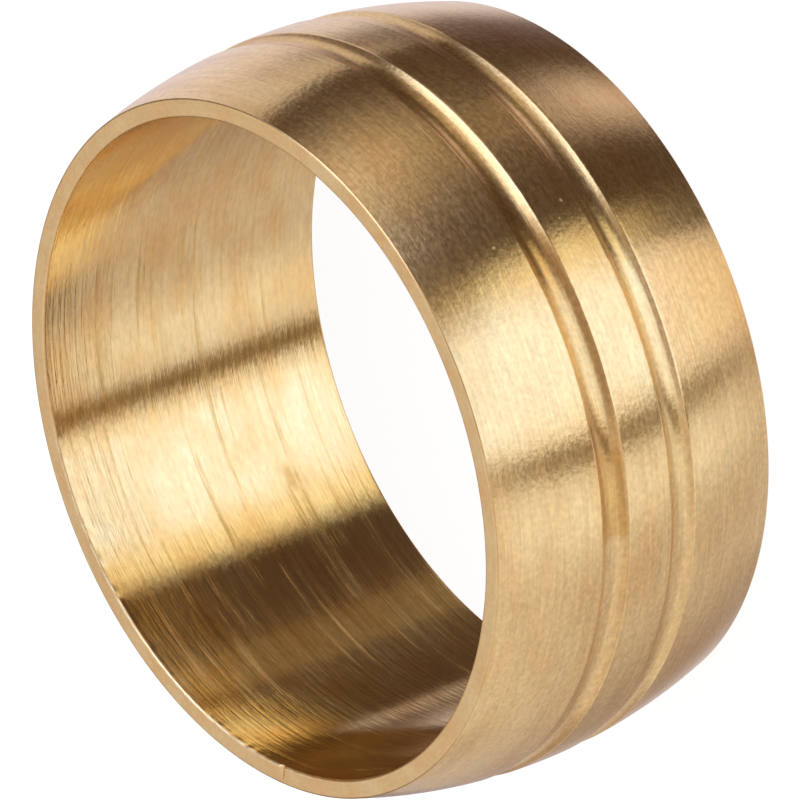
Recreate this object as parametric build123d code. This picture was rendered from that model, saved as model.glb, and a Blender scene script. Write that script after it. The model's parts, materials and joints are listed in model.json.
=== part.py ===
from build123d import *
import os
from math import asin, cos, sin

# Brass compression ring for a 15 mm tube, turned in one piece from bar.
# It stands on one end face: the origin is the middle of that face and +Z runs up the bore.
# All sizes are in millimetres.

# Bore and end faces
bore_diameter = 15.10
ring_width = 7.74
end_wall = 0.42
bore_edge_chamfer = 0.05
rim_edge_chamfer = 0.05

# Crown: the outside swells from both end faces to its fattest half way up
crown_rise = 0.57

# Two round-bottomed grooves turned round the crown, one each side of its middle
groove_width = 0.74
groove_depth = 0.13
groove_spacing = 1.91
groove_lip_radius = 0.10


def arc_radius(chord, rise):
    """Radius of an arc that stands rise high on its chord."""
    return (chord**2 / 4 + rise**2) / (2 * rise)


def draw_blank():
    """Outline of the wall before grooving: bore, end faces and crown."""
    bore_x = bore_diameter / 2
    end_x = bore_x + end_wall
    crown_point = (end_x + crown_rise, ring_width / 2)
    Line((end_x, ring_width), (bore_x, ring_width))
    Line((bore_x, ring_width), (bore_x, 0))
    Line((bore_x, 0), (end_x, 0))
    ThreePointArc((end_x, 0), crown_point, (end_x, ring_width))


def groove_centres(nose_radius):
    """Where the round nose of the grooving tool ends its cuts, which run square to the crown."""
    crown_radius = arc_radius(ring_width, crown_rise)
    crown_centre_x = bore_diameter / 2 + end_wall + crown_rise - crown_radius
    reach = crown_radius - groove_depth + nose_radius
    lean = asin(groove_spacing / 2 / crown_radius)
    x = crown_centre_x + reach * cos(lean)
    return [(x, ring_width / 2 + side * reach * sin(lean)) for side in (-1, 1)]


def wall_section():
    """Section of the wall on one side of the axis, with its edges broken and its grooves cut."""
    nose_radius = arc_radius(groove_width, groove_depth)
    with BuildSketch(Plane.XZ) as section:
        with BuildLine():
            draw_blank()
        make_face()
        chamfer(section.vertices().group_by(Axis.X)[-1], rim_edge_chamfer)
        chamfer(section.vertices().group_by(Axis.X)[0], bore_edge_chamfer)
        with Locations(*groove_centres(nose_radius)):
            Circle(nose_radius, mode=Mode.SUBTRACT)
        fillet(section.vertices(Select.LAST), groove_lip_radius)
    return section.sketch


def compression_ring():
    """The whole ring: its wall section turned once round the axis."""
    return revolve(wall_section(), Axis.Z)


ring = compression_ring()
ring.label = "compression_ring"
os.makedirs("parts", exist_ok=True)
export_step(ring, "parts/compression_ring.step")
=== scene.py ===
import json
from math import acos, asin, atan2, cos, degrees, exp, hypot, pi, radians, sin

import bpy
from mathutils import Matrix, Vector, noise


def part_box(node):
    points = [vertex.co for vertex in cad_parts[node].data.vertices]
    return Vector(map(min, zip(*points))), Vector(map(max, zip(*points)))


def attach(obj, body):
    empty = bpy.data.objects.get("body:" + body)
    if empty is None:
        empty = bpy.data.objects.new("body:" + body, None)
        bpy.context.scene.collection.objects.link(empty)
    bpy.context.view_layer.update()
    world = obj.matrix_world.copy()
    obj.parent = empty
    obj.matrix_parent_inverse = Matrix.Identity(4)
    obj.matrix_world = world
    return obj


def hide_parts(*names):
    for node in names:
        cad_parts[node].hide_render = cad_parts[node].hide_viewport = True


# A turned brass compression ring, standing on its lower end face round the origin.
# The frame gives its main sizes. The ones below are finer and are in metres and degrees.

mm = 0.001

# Section
groove_width = 0.74 * mm
groove_depth = 0.13 * mm
groove_spacing = 1.91 * mm
groove_lip_radius = 0.10 * mm
end_wall = 0.42 * mm
edge_radius = 0.05 * mm

# Wear at the upper mouth of the bore
mouth_wave = 0.012 * mm
mouth_wave_length = 1.5 * mm
mouth_reach = 0.08 * mm
burr_size = 0.03 * mm
burr_lump = 0.22 * mm
burr_band = 0.055 * mm
burr_middle = 117
burr_half_span = 42
nick_azimuth = 152
nick_half_width = 0.12 * mm
nick_length = 0.30 * mm
nick_depth = 0.07 * mm

# Small marks: azimuth, height and size
bright_marks = [(286, 5.78 * mm, 0.06 * mm), (289, 3.66 * mm, 0.07 * mm), (286.5, 3.95 * mm, 0.05 * mm),
                (254, 2.41 * mm, 0.05 * mm)]
dark_specks = [(216, 5.01 * mm, 0.07 * mm), (209, 4.73 * mm, 0.10 * mm), (252, 2.71 * mm, 0.12 * mm)]
smudges = [(96, 2.0 * mm, 0.6 * mm), (109, 1.74 * mm, 0.5 * mm)]

# Brass colours, the pale of a painted highlight along the burr, a darkening for the grooves and a stain for
# the bore's lines, which multiply them
outside_tan = (0.81, 0.55, 0.245, 1)
outside_pale = (0.87, 0.68, 0.345, 1)
bore_tan = (0.81, 0.54, 0.225, 1)
bore_pale = (0.87, 0.685, 0.355, 1)
# Pale of the painted highlight along the burr at the bore's upper mouth
burr_highlight_pale = (0.97, 0.82, 0.50, 1)
groove_darkening = (0.82, 0.72, 0.55, 1)
line_stain = (0.95, 0.88, 0.70, 1)
speck_shade = 0.55

# Roughness from the smoothest places to the roughest ones, and what worn places add
outside_roughness = (0.195, 0.23)
bore_roughness = (0.12, 0.18)
face_roughness = (0.26, 0.32)
mark_roughness = 0.3
worn_line_roughness = 0.15
burr_line_roughness = 0.1

# Anisotropy of the brushed surfaces
outside_brushing = 0.8
bore_brushing = 0.88
face_brushing = 0.5

# Darker, yellower colour in the grooves: faint over a long span, full in a patch, and less in the lower
# groove
darkening_middle = -26
darkening_half_span = 96
darkening_strength = 0.6
patch_middle = -115
patch_half_span = 7
lower_groove_strength = 0.3
darkening_start_depth = 0.01 * mm
darkening_full_depth = 0.05 * mm

# Lean of the bore's wall near its upper mouth, as a slope, seen in the shading alone
mouth_lean = 0.022
mouth_lean_depth = 2.6 * mm

# Mesh
columns = 720
nick_columns_span = 1.6
nick_columns_step = 0.1
bore_rows = 22
face_rows = 7
edge_rows = 4
crown_rows = 9
lip_rows = 5
floor_rows = 10
support = 0.02 * mm

# Bake map: its lower margin, the height that the section takes and the gap between strips
map_margin = 0.01
map_height = 0.92
map_gap = 0.02

# Camera: azimuth 0 looks along +Y, and the roll turns it clockwise
camera_elevation = 35.09
camera_roll = 110.53
camera_distance = 386.73 * mm
camera_aim = Vector((-0.04, -0.03, 3.83)) * mm
camera_lens = 793.6
camera_sensor = 36

# Floor
floor_radius = 0.6
floor_glow = 0.88
floor_grey = (0.2, 0.2, 0.2, 1)


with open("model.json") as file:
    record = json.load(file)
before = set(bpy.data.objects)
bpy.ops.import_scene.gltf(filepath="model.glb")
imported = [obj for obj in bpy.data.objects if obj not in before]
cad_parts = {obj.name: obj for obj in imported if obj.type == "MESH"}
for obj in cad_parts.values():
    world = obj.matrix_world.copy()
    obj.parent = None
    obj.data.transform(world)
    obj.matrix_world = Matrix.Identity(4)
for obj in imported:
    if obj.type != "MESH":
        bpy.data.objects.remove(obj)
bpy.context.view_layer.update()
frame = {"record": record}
scene = bpy.context.scene
scene.view_settings.view_transform = "Standard"

node = "compression_ring"
low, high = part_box(node)
bore = next(m for m in frame["record"]["mounts"] if m["name"] == "bore")
bore_radius = bore["dims"]["r_mm"] * mm
crown_peak = high.x
ring_width = high.z - low.z
end_radius = bore_radius + end_wall


# Section of the wall, as (radius, height) points

def arc_radius(chord, rise):
    """Radius of an arc that stands rise high on its chord."""
    return (chord**2 / 4 + rise**2) / (2 * rise)


crown_radius = arc_radius(ring_width, crown_peak - end_radius)
crown_centre = (crown_peak - crown_radius, ring_width / 2)
nose_radius = arc_radius(groove_width, groove_depth)
groove_reach = crown_radius - groove_depth + nose_radius
groove_lean = asin(groove_spacing / 2 / crown_radius)


def polar(centre, radius, angle):
    """Point at that distance and angle from a centre."""
    return centre[0] + radius * cos(angle), centre[1] + radius * sin(angle)


def angle_to(start, end):
    """Angle of the line from one point to another."""
    return atan2(end[1] - start[1], end[0] - start[0])


def arc(centre, radius, first, last, steps):
    """Points along an arc, its two ends included."""
    return [polar(centre, radius, first + (last - first) * i / steps) for i in range(steps + 1)]


def line(start, end, steps):
    """Points along a straight line, closer together towards its ends, which are included."""
    shares = [(1 - cos(pi * i / steps)) / 2 for i in range(steps + 1)]
    return [(start[0] + (end[0] - start[0]) * s, start[1] + (end[1] - start[1]) * s) for s in shares]


def supported(points):
    """The points, with one more close to each end, so that smooth shading turns only at the edge."""
    def near(a, b):
        share = support / hypot(b[0] - a[0], b[1] - a[1])
        return a[0] + (b[0] - a[0]) * share, a[1] + (b[1] - a[1]) * share
    return [points[0], near(points[0], points[1])] + points[1:-1] + [near(points[-1], points[-2]), points[-1]]


def lip_spread():
    """Angle at the crown's centre between a groove's middle and its lips."""
    side = crown_radius - groove_lip_radius
    opposite = nose_radius + groove_lip_radius
    return acos((side**2 + groove_reach**2 - opposite**2) / (2 * side * groove_reach))


def groove(lean):
    """Lower lip, round floor and upper lip of one groove."""
    centre = polar(crown_centre, groove_reach, lean)
    spread = lip_spread()
    lips = [polar(crown_centre, crown_radius - groove_lip_radius, lean + side * spread) for side in (-1, 1)]
    turns = [angle_to(lip, centre) for lip in lips]
    lower = arc(lips[0], groove_lip_radius, lean - spread, turns[0], lip_rows)
    floor = arc(centre, nose_radius, turns[0] + pi, turns[1] + pi, floor_rows)
    upper = arc(lips[1], groove_lip_radius, turns[1], lean + spread, lip_rows)
    return lower + floor[1:-1] + upper


def crown():
    """Outside of the ring from its lower rim to its upper one."""
    tip = angle_to(crown_centre, (end_radius, ring_width - edge_radius))
    spread = lip_spread()
    starts = [-tip, -groove_lean + spread, groove_lean + spread]
    ends = [-groove_lean - spread, groove_lean - spread, tip]
    rows = [crown_rows, crown_rows // 2, crown_rows]
    spans = [supported(arc(crown_centre, crown_radius, *span)) for span in zip(starts, ends, rows)]
    return spans[0] + groove(-groove_lean)[1:-1] + spans[1] + groove(groove_lean)[1:-1] + spans[2]


def rounded(centre, first, last):
    """A broken edge, between two angles in degrees."""
    return arc(centre, edge_radius, radians(first), radians(last), edge_rows)


def section():
    """The four strips of the section from the lower rim round: outside, upper face, bore, lower face."""
    outside = crown()
    upper_rim = rounded((outside[-1][0] - edge_radius, ring_width - edge_radius), 0, 90)
    upper_mouth = rounded((bore_radius + edge_radius, ring_width - edge_radius), 90, 180)
    upper_face = upper_rim[1:-1] + line(upper_rim[-1], upper_mouth[0], face_rows) + upper_mouth[1:-1]
    bore_wall = line((bore_radius, ring_width - edge_radius), (bore_radius, edge_radius), bore_rows)
    lower_face = [(radius, ring_width - height) for radius, height in reversed(upper_face)]
    return [outside, upper_face, bore_wall, lower_face]


# Wear

def lumps(angle, size, seed):
    """Smooth noise round the bore between about -1 and 1, with lumps of that size."""
    turn = bore_radius / size
    return noise.noise(Vector((turn * cos(angle), turn * sin(angle), seed)))


def degrees_between(a, b):
    return (a - b + 180) % 360 - 180


def mouth_wear(radius, height, angle):
    """How far inwards the upper mouth of the bore is pushed by its waviness and its burr."""
    away = hypot(radius - bore_radius, ring_width - height)
    near = exp(-(away / mouth_reach)**2)
    span = exp(-(degrees_between(degrees(angle), burr_middle) / burr_half_span)**4)
    burr = burr_size * span * max(0.0, 0.5 + lumps(angle, burr_lump, 7.5))
    return near * (mouth_wave * lumps(angle, mouth_wave_length, 2.5) + burr)


def nick_wear(radius, height, angle):
    """How far down the upper face is pressed by the nick at the bore's mouth."""
    along = max(0.0, 1 - max(0.0, radius - bore_radius) / nick_length)
    aside = abs(radians(degrees_between(degrees(angle), nick_azimuth))) * bore_radius
    if not along or aside > nick_half_width * along:
        return 0.0
    depth = nick_depth * along * (1 - aside / (nick_half_width * along))
    return max(0.0, depth - (ring_width - height))


# Mesh

def column_angles():
    """Even steps round the ring, with finer ones at the nick."""
    step = 360 / columns
    even = [i * step for i in range(columns)]
    count = round(nick_columns_span / nick_columns_step)
    fine = [nick_azimuth + i * nick_columns_step for i in range(-count, count + 1)]
    kept = [a for a in even if abs(degrees_between(a, nick_azimuth)) > nick_columns_span + step / 4]
    return [radians(a) for a in sorted(kept + fine)]


def strip_rows():
    """All rows of the section: point, strip and distance along the section."""
    rows = []
    travelled = 0.0
    for strip, points in enumerate(section()):
        for point in points:
            if rows:
                travelled += hypot(point[0] - rows[-1][0][0], point[1] - rows[-1][0][1])
            rows.append((point, strip, travelled))
    return rows


def ring_mesh():
    """The section turned round the axis, with one material and one band of the map for each strip."""
    rows = strip_rows()
    angles = column_angles()
    total = rows[-1][2] + support
    vertices = []
    for angle in angles:
        for (radius, height), strip, travelled in rows:
            r = radius - mouth_wear(radius, height, angle)
            z = height - nick_wear(radius, height, angle)
            vertices.append((r * cos(angle), r * sin(angle), z))
    faces, materials, map_points = [], [], []
    for column, angle in enumerate(angles):
        after = (column + 1) % len(angles)
        sides = (angle / (2 * pi), angles[after] / (2 * pi) if after else 1.0)
        for row, (point, strip, travelled) in enumerate(rows):
            up = (row + 1) % len(rows)
            owner = strip if strip == rows[up][1] or strip % 2 else rows[up][1]
            ends = (travelled, rows[up][2] if up else total)
            heights = [map_margin + map_height * end / total + map_gap * owner for end in ends]
            faces.append((column * len(rows) + row, after * len(rows) + row,
                          after * len(rows) + up, column * len(rows) + up))
            materials.append(owner)
            map_points += [(sides[0], heights[0]), (sides[1], heights[0])]
            map_points += [(sides[1], heights[1]), (sides[0], heights[1])]
    mesh = bpy.data.meshes.new(node + "_turned")
    mesh.from_pydata(vertices, [], faces)
    mesh.polygons.foreach_set("material_index", materials)
    mesh.polygons.foreach_set("use_smooth", [True] * len(faces))
    bake_map = mesh.uv_layers.new(name="OFBake")
    bake_map.data.foreach_set("uv", [value for point in map_points for value in point])
    mesh.update()
    return mesh


# Shader helpers

class Nodes:
    """Short ways to add and link shader nodes."""

    def __init__(self, tree):
        self.tree = tree

    def add(self, kind, **settings):
        added = self.tree.nodes.new("ShaderNode" + kind)
        for name, value in settings.items():
            setattr(added, name, value)
        return added

    def set(self, socket, value):
        """Links a socket to another, or gives it a plain value."""
        if isinstance(value, bpy.types.NodeSocket):
            self.tree.links.new(value, socket)
        else:
            socket.default_value = value

    def math(self, operation, *values):
        added = self.add("Math", operation=operation)
        for socket, value in zip(added.inputs, values):
            self.set(socket, value)
        return added.outputs[0]

    def fade(self, value, start, end, low=0.0, high=1.0):
        """low at start, high at end and smooth between."""
        added = self.add("MapRange", interpolation_type="SMOOTHSTEP")
        for name, setting in zip(("Value", "From Min", "From Max", "To Min", "To Max"),
                                 (value, start, end, low, high)):
            self.set(added.inputs[name], setting)
        return added.outputs[0]

    def spread(self, value, low, high):
        """Noise output, which keeps near the middle, stretched to run from low to high."""
        added = self.add("MapRange")
        for name, setting in zip(("Value", "From Min", "From Max", "To Min", "To Max"),
                                 (value, 0.3, 0.7, low, high)):
            self.set(added.inputs[name], setting)
        return added.outputs[0]

    def vector(self, *values):
        added = self.add("CombineXYZ")
        for socket, value in zip(added.inputs, values):
            self.set(socket, value)
        return added.outputs[0]

    def noise(self, vector, detail=2.0, roughness=0.5):
        added = self.add("TexNoise")
        for name, value in (("Vector", vector), ("Scale", 1.0), ("Detail", detail), ("Roughness", roughness)):
            self.set(added.inputs[name], value)
        return added.outputs[0]

    def mix(self, factor, a, b, blend="MIX"):
        added = self.add("Mix", data_type="RGBA", blend_type=blend)
        for socket, value in zip((added.inputs[0], added.inputs[6], added.inputs[7]), (factor, a, b)):
            self.set(socket, value)
        return added.outputs[2]

    def grey(self, value):
        added = self.add("CombineColor")
        for socket in added.inputs:
            self.set(socket, value)
        return added.outputs[0]

    def bump(self, height, depth, normal=None):
        """Surface normal for a height between 0 and 1 that stands depth metres."""
        added = self.add("Bump")
        self.set(added.inputs["Height"], height)
        self.set(added.inputs["Distance"], depth)
        if normal:
            self.set(added.inputs["Normal"], normal)
        return added.outputs[0]


class Surface(Nodes):
    """Nodes of the turned brass, with the point on the ring in metres."""

    def __init__(self, name):
        self.material = bpy.data.materials.new(name)
        self.material.use_nodes = True
        super().__init__(self.material.node_tree)
        self.shader = self.tree.nodes["Principled BSDF"]
        self.point = self.add("TexCoord").outputs["Object"]
        split = self.add("SeparateXYZ")
        self.set(split.inputs[0], self.point)
        self.x, self.y, self.z = split.outputs
        self.radius = self.math("SQRT", self.math("ADD", self.math("MULTIPLY", self.x, self.x),
                                                  self.math("MULTIPLY", self.y, self.y)))
        self.azimuth = self.math("DEGREES", self.math("ARCTAN2", self.y, self.x))
        tangent = self.add("Tangent", direction_type="RADIAL", axis="Z")
        self.set(self.shader.inputs["Tangent"], tangent.outputs[0])
        self.set(self.shader.inputs["Metallic"], 1.0)
        self.set(self.shader.inputs["Anisotropic Rotation"], 0.25)

    def streaks(self, length, thickness, seed, across=None, detail=2.0, roughness=0.5):
        """Noise drawn out round the ring: length and thickness of its marks in metres."""
        across = across or self.z
        x = self.math("MULTIPLY_ADD", self.x, 1 / length, seed)
        y = self.math("MULTIPLY", self.y, 1 / length)
        return self.noise(self.vector(x, y, self.math("MULTIPLY", across, 1 / thickness)), detail, roughness)

    def near_azimuth(self, middle, half_span, soft):
        """1 within half_span degrees of an azimuth, fading out over soft degrees."""
        offset = self.math("SUBTRACT", self.azimuth, middle)
        away = self.math("ABSOLUTE", self.math("WRAP", offset, 180, -180))
        return self.fade(away, half_span + soft / 2, half_span - soft / 2)

    def blots(self, marks):
        """1 at each mark and fading out round it. A mark is azimuth, radius, height and size."""
        combined = 0.0
        for azimuth, radius, height, size in marks:
            turn = radians(azimuth)
            away = self.add("VectorMath", operation="DISTANCE")
            self.set(away.inputs[0], self.point)
            self.set(away.inputs[1], (radius * cos(turn), radius * sin(turn), height))
            combined = self.math("MAXIMUM", self.fade(away.outputs["Value"], size, 0), combined)
        return combined


# Materials

def groove_mask(s):
    """1 in the grooves and 0 on the crown, from the depth below the crown's arc."""
    height = s.math("SUBTRACT", s.z, crown_centre[1])
    reach = s.math("SQRT", s.math("SUBTRACT", crown_radius**2, s.math("MULTIPLY", height, height)))
    depth = s.math("SUBTRACT", s.math("ADD", reach, crown_centre[0]), s.radius)
    return s.fade(depth, darkening_start_depth, darkening_full_depth)


def groove_darkening_mask(s):
    """How much darker and yellower the grooves are made: the upper one more than the lower one, and most of
    all in a patch.
    """
    middle = crown_centre[1]
    which = s.fade(s.z, middle - groove_width / 2, middle + groove_width / 2, lower_groove_strength, 1.0)
    span = s.math("MULTIPLY", s.near_azimuth(darkening_middle, darkening_half_span, 1.5), darkening_strength)
    patch = s.near_azimuth(patch_middle, patch_half_span, 2)
    return s.math("MULTIPLY", groove_mask(s), s.math("MULTIPLY", which, s.math("MAXIMUM", span, patch)))


def outside_radius(height):
    """Radius of the crown at a height."""
    return crown_centre[0] + (crown_radius**2 - (height - crown_centre[1])**2)**0.5


def outside_brass():
    """Turned outside: grain and fine lines drawn out round the ring, darker and yellower grooves and small
    marks.
    """
    s = Surface("brass_outside")
    mottle = s.streaks(0.34 * mm, 0.16 * mm, 3.0, detail=3.0, roughness=0.7)
    fine = s.streaks(2.2 * mm, 0.06 * mm, 17.0)
    broad = s.streaks(3 * mm, 0.7 * mm, 19.0)
    grit = s.streaks(0.13 * mm, 0.09 * mm, 13.0, detail=1.0)
    marks = s.blots([(a, outside_radius(z), z, size) for a, z, size in bright_marks])
    specks = s.blots([(a, outside_radius(z), z, size) for a, z, size in dark_specks])
    tint = s.mix(s.spread(broad, 0.1, 0.9), outside_tan, outside_pale)
    shade = s.math("MULTIPLY", s.spread(fine, 0.92, 1.08), s.spread(mottle, 0.94, 1.06))
    shade = s.math("MULTIPLY", shade, s.spread(grit, 0.91, 1.09))
    shade = s.math("MULTIPLY", shade, s.fade(specks, 0, 0.7, 1.0, speck_shade))
    colour = s.mix(1.0, tint, s.grey(shade), "MULTIPLY")
    # The grooves' colour is made darker and yellower here
    s.set(s.shader.inputs["Base Color"], s.mix(groove_darkening_mask(s), colour, groove_darkening, "MULTIPLY"))
    rougher = s.fade(marks, 0, 0.9, 0, mark_roughness)
    s.set(s.shader.inputs["Roughness"], s.math("ADD", s.spread(grit, *outside_roughness), rougher))
    s.set(s.shader.inputs["Anisotropic"], outside_brushing)
    relief = s.bump(grit, 0.0025 * mm, s.bump(mottle, 0.002 * mm))
    s.set(s.shader.inputs["Normal"], s.bump(fine, 0.0025 * mm, relief))
    return s.material


def bore_brass():
    """Bored inside: long thin lines round the ring, some of them rougher and browner, and two smudges.
    Its wall leans out a little towards the upper mouth."""
    s = Surface("brass_bore")
    mottle = s.streaks(0.5 * mm, 0.13 * mm, 21.0, roughness=0.65)
    lines = s.streaks(5 * mm, 0.09 * mm, 27.0, detail=3.0, roughness=0.6)
    patches = s.streaks(1.6 * mm, 0.9 * mm, 33.0)
    grit = s.streaks(0.22 * mm, 0.1 * mm, 35.0, detail=1.0)
    bands = s.streaks(5 * mm, 0.17 * mm, 29.0, detail=3.0, roughness=0.65)
    deep = s.math("MULTIPLY", s.fade(bands, 0.49, 0.70), s.fade(patches, 0.36, 0.60, 0.3, 1.0))
    smeared = s.blots([(a, bore_radius, z, size) for a, z, size in smudges])
    worn = s.math("MAXIMUM", deep, s.math("MULTIPLY", smeared, s.fade(lines, 0.4, 0.55)))
    tint = s.mix(s.spread(patches, 0, 1), bore_tan, bore_pale)
    shade = s.math("MULTIPLY", s.spread(lines, 0.93, 1.07), s.spread(grit, 0.94, 1.06))
    colour = s.mix(1.0, tint, s.grey(shade), "MULTIPLY")
    s.set(s.shader.inputs["Base Color"], s.mix(worn, colour, line_stain, "MULTIPLY"))
    rougher = s.fade(worn, 0, 1, 0, worn_line_roughness)
    s.set(s.shader.inputs["Roughness"], s.math("ADD", s.spread(lines, *bore_roughness), rougher))
    s.set(s.shader.inputs["Anisotropic"], bore_brushing)
    # The fade is steepest near the mouth, where it rises about 1.2 in one lean depth
    lean = s.fade(s.z, ring_width - mouth_lean_depth, ring_width + mouth_lean_depth / 4)
    relief = s.bump(mottle, 0.005 * mm, s.bump(lean, -mouth_lean * mouth_lean_depth * 0.8))
    s.set(s.shader.inputs["Normal"], s.bump(lines, 0.008 * mm, relief))
    return s.material


def burr_highlight_mask(s):
    """1 on the lumpy line round part of the bore's upper mouth, where a highlight is painted along the burr.
    """
    lumpy = s.streaks(burr_lump, burr_lump, 43.0)
    width = s.spread(lumpy, bore_radius, bore_radius + burr_band)
    near_mouth = s.fade(s.math("SUBTRACT", s.radius, width), 0.02 * mm, -0.02 * mm)
    return s.math("MULTIPLY", near_mouth, s.near_azimuth(burr_middle, burr_half_span, 20))


def face_brass(name):
    """Faced end: satin, with faint rings and blotches, and a painted highlight along the burr at the bore's
    upper mouth.
    """
    s = Surface(name)
    blotch = s.streaks(0.9 * mm, 0.4 * mm, 31.0)
    specks = s.streaks(0.12 * mm, 0.1 * mm, 41.0, roughness=0.7)
    rings = s.streaks(1.5 * mm, 0.05 * mm, 37.0, across=s.radius)
    tint = s.mix(s.spread(blotch, 0, 1), outside_tan, outside_pale)
    shade = s.math("MULTIPLY", s.spread(rings, 0.97, 1.03), s.spread(specks, 0.94, 1.06))
    colour = s.mix(1.0, tint, s.grey(shade), "MULTIPLY")
    # Along the burr at the upper mouth the colour is mixed towards a pale: a painted highlight, with a little
    # more roughness
    burr_highlight = s.math("MULTIPLY", burr_highlight_mask(s), s.fade(s.z, ring_width / 2, ring_width))
    s.set(s.shader.inputs["Base Color"], s.mix(burr_highlight, colour, burr_highlight_pale))
    rougher = s.math("MULTIPLY", burr_highlight, burr_line_roughness)
    s.set(s.shader.inputs["Roughness"], s.math("ADD", s.spread(blotch, *face_roughness), rougher))
    s.set(s.shader.inputs["Anisotropic"], face_brushing)
    s.set(s.shader.inputs["Normal"], s.bump(rings, 0.001 * mm, s.bump(specks, 0.003 * mm)))
    return s.material


# Studio: soft cards all round, seen only in the ring's own gloss

class Studio(Nodes):
    """World shader that lays soft cards over each other by azimuth and elevation, in degrees."""

    def __init__(self, tree, colour):
        super().__init__(tree)
        split = self.add("SeparateXYZ")
        self.set(split.inputs[0], self.add("TexCoord").outputs["Generated"])
        x, y, z = split.outputs
        self.azimuth = self.math("DEGREES", self.math("ARCTAN2", y, x))
        self.elevation = self.math("DEGREES", self.math("ARCSINE", z))
        self.colour = (*colour, 1)

    def card(self, colour, azimuth, elevation, soft, lean=0.0):
        """A card between two azimuths and two elevations.
        soft is how wide its side edges and its upper and lower edges fade.
        lean moves it that many degrees of azimuth for each one of elevation above its middle."""
        middle = (azimuth[0] + azimuth[1]) / 2
        half = (azimuth[1] - azimuth[0]) / 2
        height = (elevation[0] + elevation[1]) / 2
        shift = self.math("MULTIPLY", self.math("SUBTRACT", self.elevation, height), lean)
        offset = self.math("SUBTRACT", self.math("SUBTRACT", self.azimuth, middle), shift)
        away = self.math("ABSOLUTE", self.math("WRAP", offset, 180, -180))
        across = self.fade(away, half + soft[0] / 2, half - soft[0] / 2)
        bottom = self.fade(self.elevation, elevation[0] - soft[1] / 2, elevation[0] + soft[1] / 2)
        top = self.fade(self.elevation, elevation[1] + soft[1] / 2, elevation[1] - soft[1] / 2)
        mask = self.math("MULTIPLY", across, self.math("MULTIPLY", bottom, top))
        self.colour = self.mix(mask, self.colour, (*colour, 1))


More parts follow.
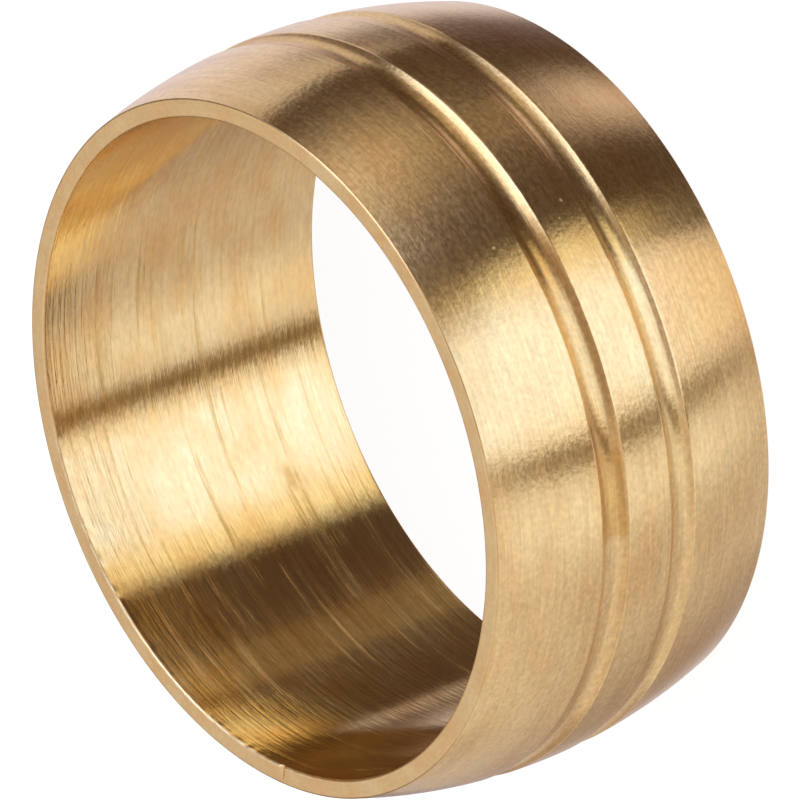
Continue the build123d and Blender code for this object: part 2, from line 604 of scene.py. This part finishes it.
def light_studio():
    world = bpy.data.worlds.new("studio")
    world.use_nodes = True
    scene.world = world
    studio = Studio(world.node_tree, colour=(0.67, 0.595, 0.60))
    studio.card((0.82, 0.75, 0.76), (-190, 190), (28, 100), (10, 20))
    # Behind the ring: a bright wall, brighter at its end, with a dim foot
    studio.card((0.84, 0.77, 0.76), (135, 280), (-20, 50), (4, 18), 0.4)
    studio.card((1.05, 1.02, 1.07), (-151, -127), (-60, 0), (28, 10), 0.1)
    studio.card((0.40, 0.315, 0.28), (90, 153), (-54, -30), (50, 5), 0.5)
    studio.card((0.72, 0.59, 0.52), (-215, -115), (6, 50), (20, 16))
    studio.card((0.50, 0.40, 0.37), (95, 152), (-18, 28), (16, 12))
    # To the right: a white side behind a dark post, with a dark shelf over it
    studio.card((0.145, 0.10, 0.115), (29, 107), (-78, 16), (2, 8), 0.7)
    studio.card((0.87, 0.80, 0.92), (41, 101), (-80, 15), (25, 30), -1.2)
    studio.card((0.45, 0.37, 0.42), (60, 104), (0, 28), (14, 12))
    studio.card((0.18, 0.14, 0.15), (2, 72), (-4, 34), (14, 8))
    # In front and to the right: the dark part of the room, with three lighter things and a lamp above
    studio.card((0.092, 0.058, 0.040), (-80, 25), (-80, 6), (5, 30), -0.55)
    studio.card((0.67, 0.55, 0.45), (-38, -10), (-24, 4), (30, 16), -0.4)
    studio.card((0.20, 0.135, 0.07), (-29, -12), (-46, -22), (4, 30), -0.8)
    studio.card((0.86, 0.73, 0.80), (-14, 15), (-66, -47), (26, 14), -1.1)
    studio.card((2.0, 2.1, 2.8), (-54, 1), (7, 50), (14, 10))
    # In front: the main soft light, with its darker frame
    studio.card((0.45, 0.34, 0.27), (-117, -64), (6, 60), (10, 16))
    studio.card((1.36, 1.23, 0.97), (-117, -63.7), (-45, -10), (11, 30), -0.3)
    studio.card((1.04, 0.87, 0.73), (-114, -73.5), (-80, -41), (16, 4))
    studio.card((1.33, 1.50, 1.97), (-114, -76), (-48, 6), (16, 8), -0.1)
    studio.card((0.235, 0.157, 0.08), (-126.7, -118.7), (-64, -4), (6, 18), 0.04)
    path = studio.add("LightPath")
    plain = studio.math("MAXIMUM", path.outputs["Is Camera Ray"], path.outputs["Is Diffuse Ray"])
    background = studio.tree.nodes["Background"]
    studio.set(background.inputs["Color"], studio.mix(plain, studio.colour, (1, 1, 1, 1)))


def floor():
    """Pale floor, which glows for the camera alone and keeps the ring's shadow."""
    bpy.ops.mesh.primitive_circle_add(
        vertices=128, radius=floor_radius, fill_type="NGON", location=(0, 0, low.z))
    piece = bpy.context.object
    piece.name = "floor"
    piece.visible_glossy = False
    material = bpy.data.materials.new("floor")
    material.use_nodes = True
    nodes = Nodes(material.node_tree)
    nodes.tree.nodes.remove(nodes.tree.nodes["Principled BSDF"])
    diffuse = nodes.add("BsdfDiffuse")
    nodes.set(diffuse.inputs["Color"], floor_grey)
    glow = nodes.add("Emission")
    seen = nodes.add("LightPath").outputs["Is Camera Ray"]
    nodes.set(glow.inputs["Strength"], nodes.math("MULTIPLY", seen, floor_glow))
    both = nodes.add("AddShader")
    nodes.set(both.inputs[0], diffuse.outputs[0])
    nodes.set(both.inputs[1], glow.outputs[0])
    nodes.set(nodes.tree.nodes["Material Output"].inputs["Surface"], both.outputs[0])
    piece.data.materials.append(material)


def place_camera():
    data = bpy.data.cameras.new("camera")
    data.sensor_width = camera_sensor
    data.lens = camera_lens
    data.clip_start = 0.01
    data.clip_end = 10
    camera = bpy.data.objects.new("camera", data)
    scene.collection.objects.link(camera)
    tilt = radians(camera_elevation)
    back = Vector((0, -cos(tilt), sin(tilt)))
    unrolled = (-back).to_track_quat("-Z", "Y").to_matrix()
    turned = unrolled @ Matrix.Rotation(-radians(camera_roll), 3, "Z")
    camera.matrix_world = Matrix.Translation(camera_aim + back * camera_distance) @ turned.to_4x4()
    scene.camera = camera


ring = bpy.data.objects.new("turned_ring", ring_mesh())
scene.collection.objects.link(ring)
for material in (outside_brass(), face_brass("brass_face"), bore_brass(), face_brass("brass_lower_face")):
    ring.data.materials.append(material)
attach(ring, "root")
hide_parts(node)
light_studio()
floor()
place_camera()
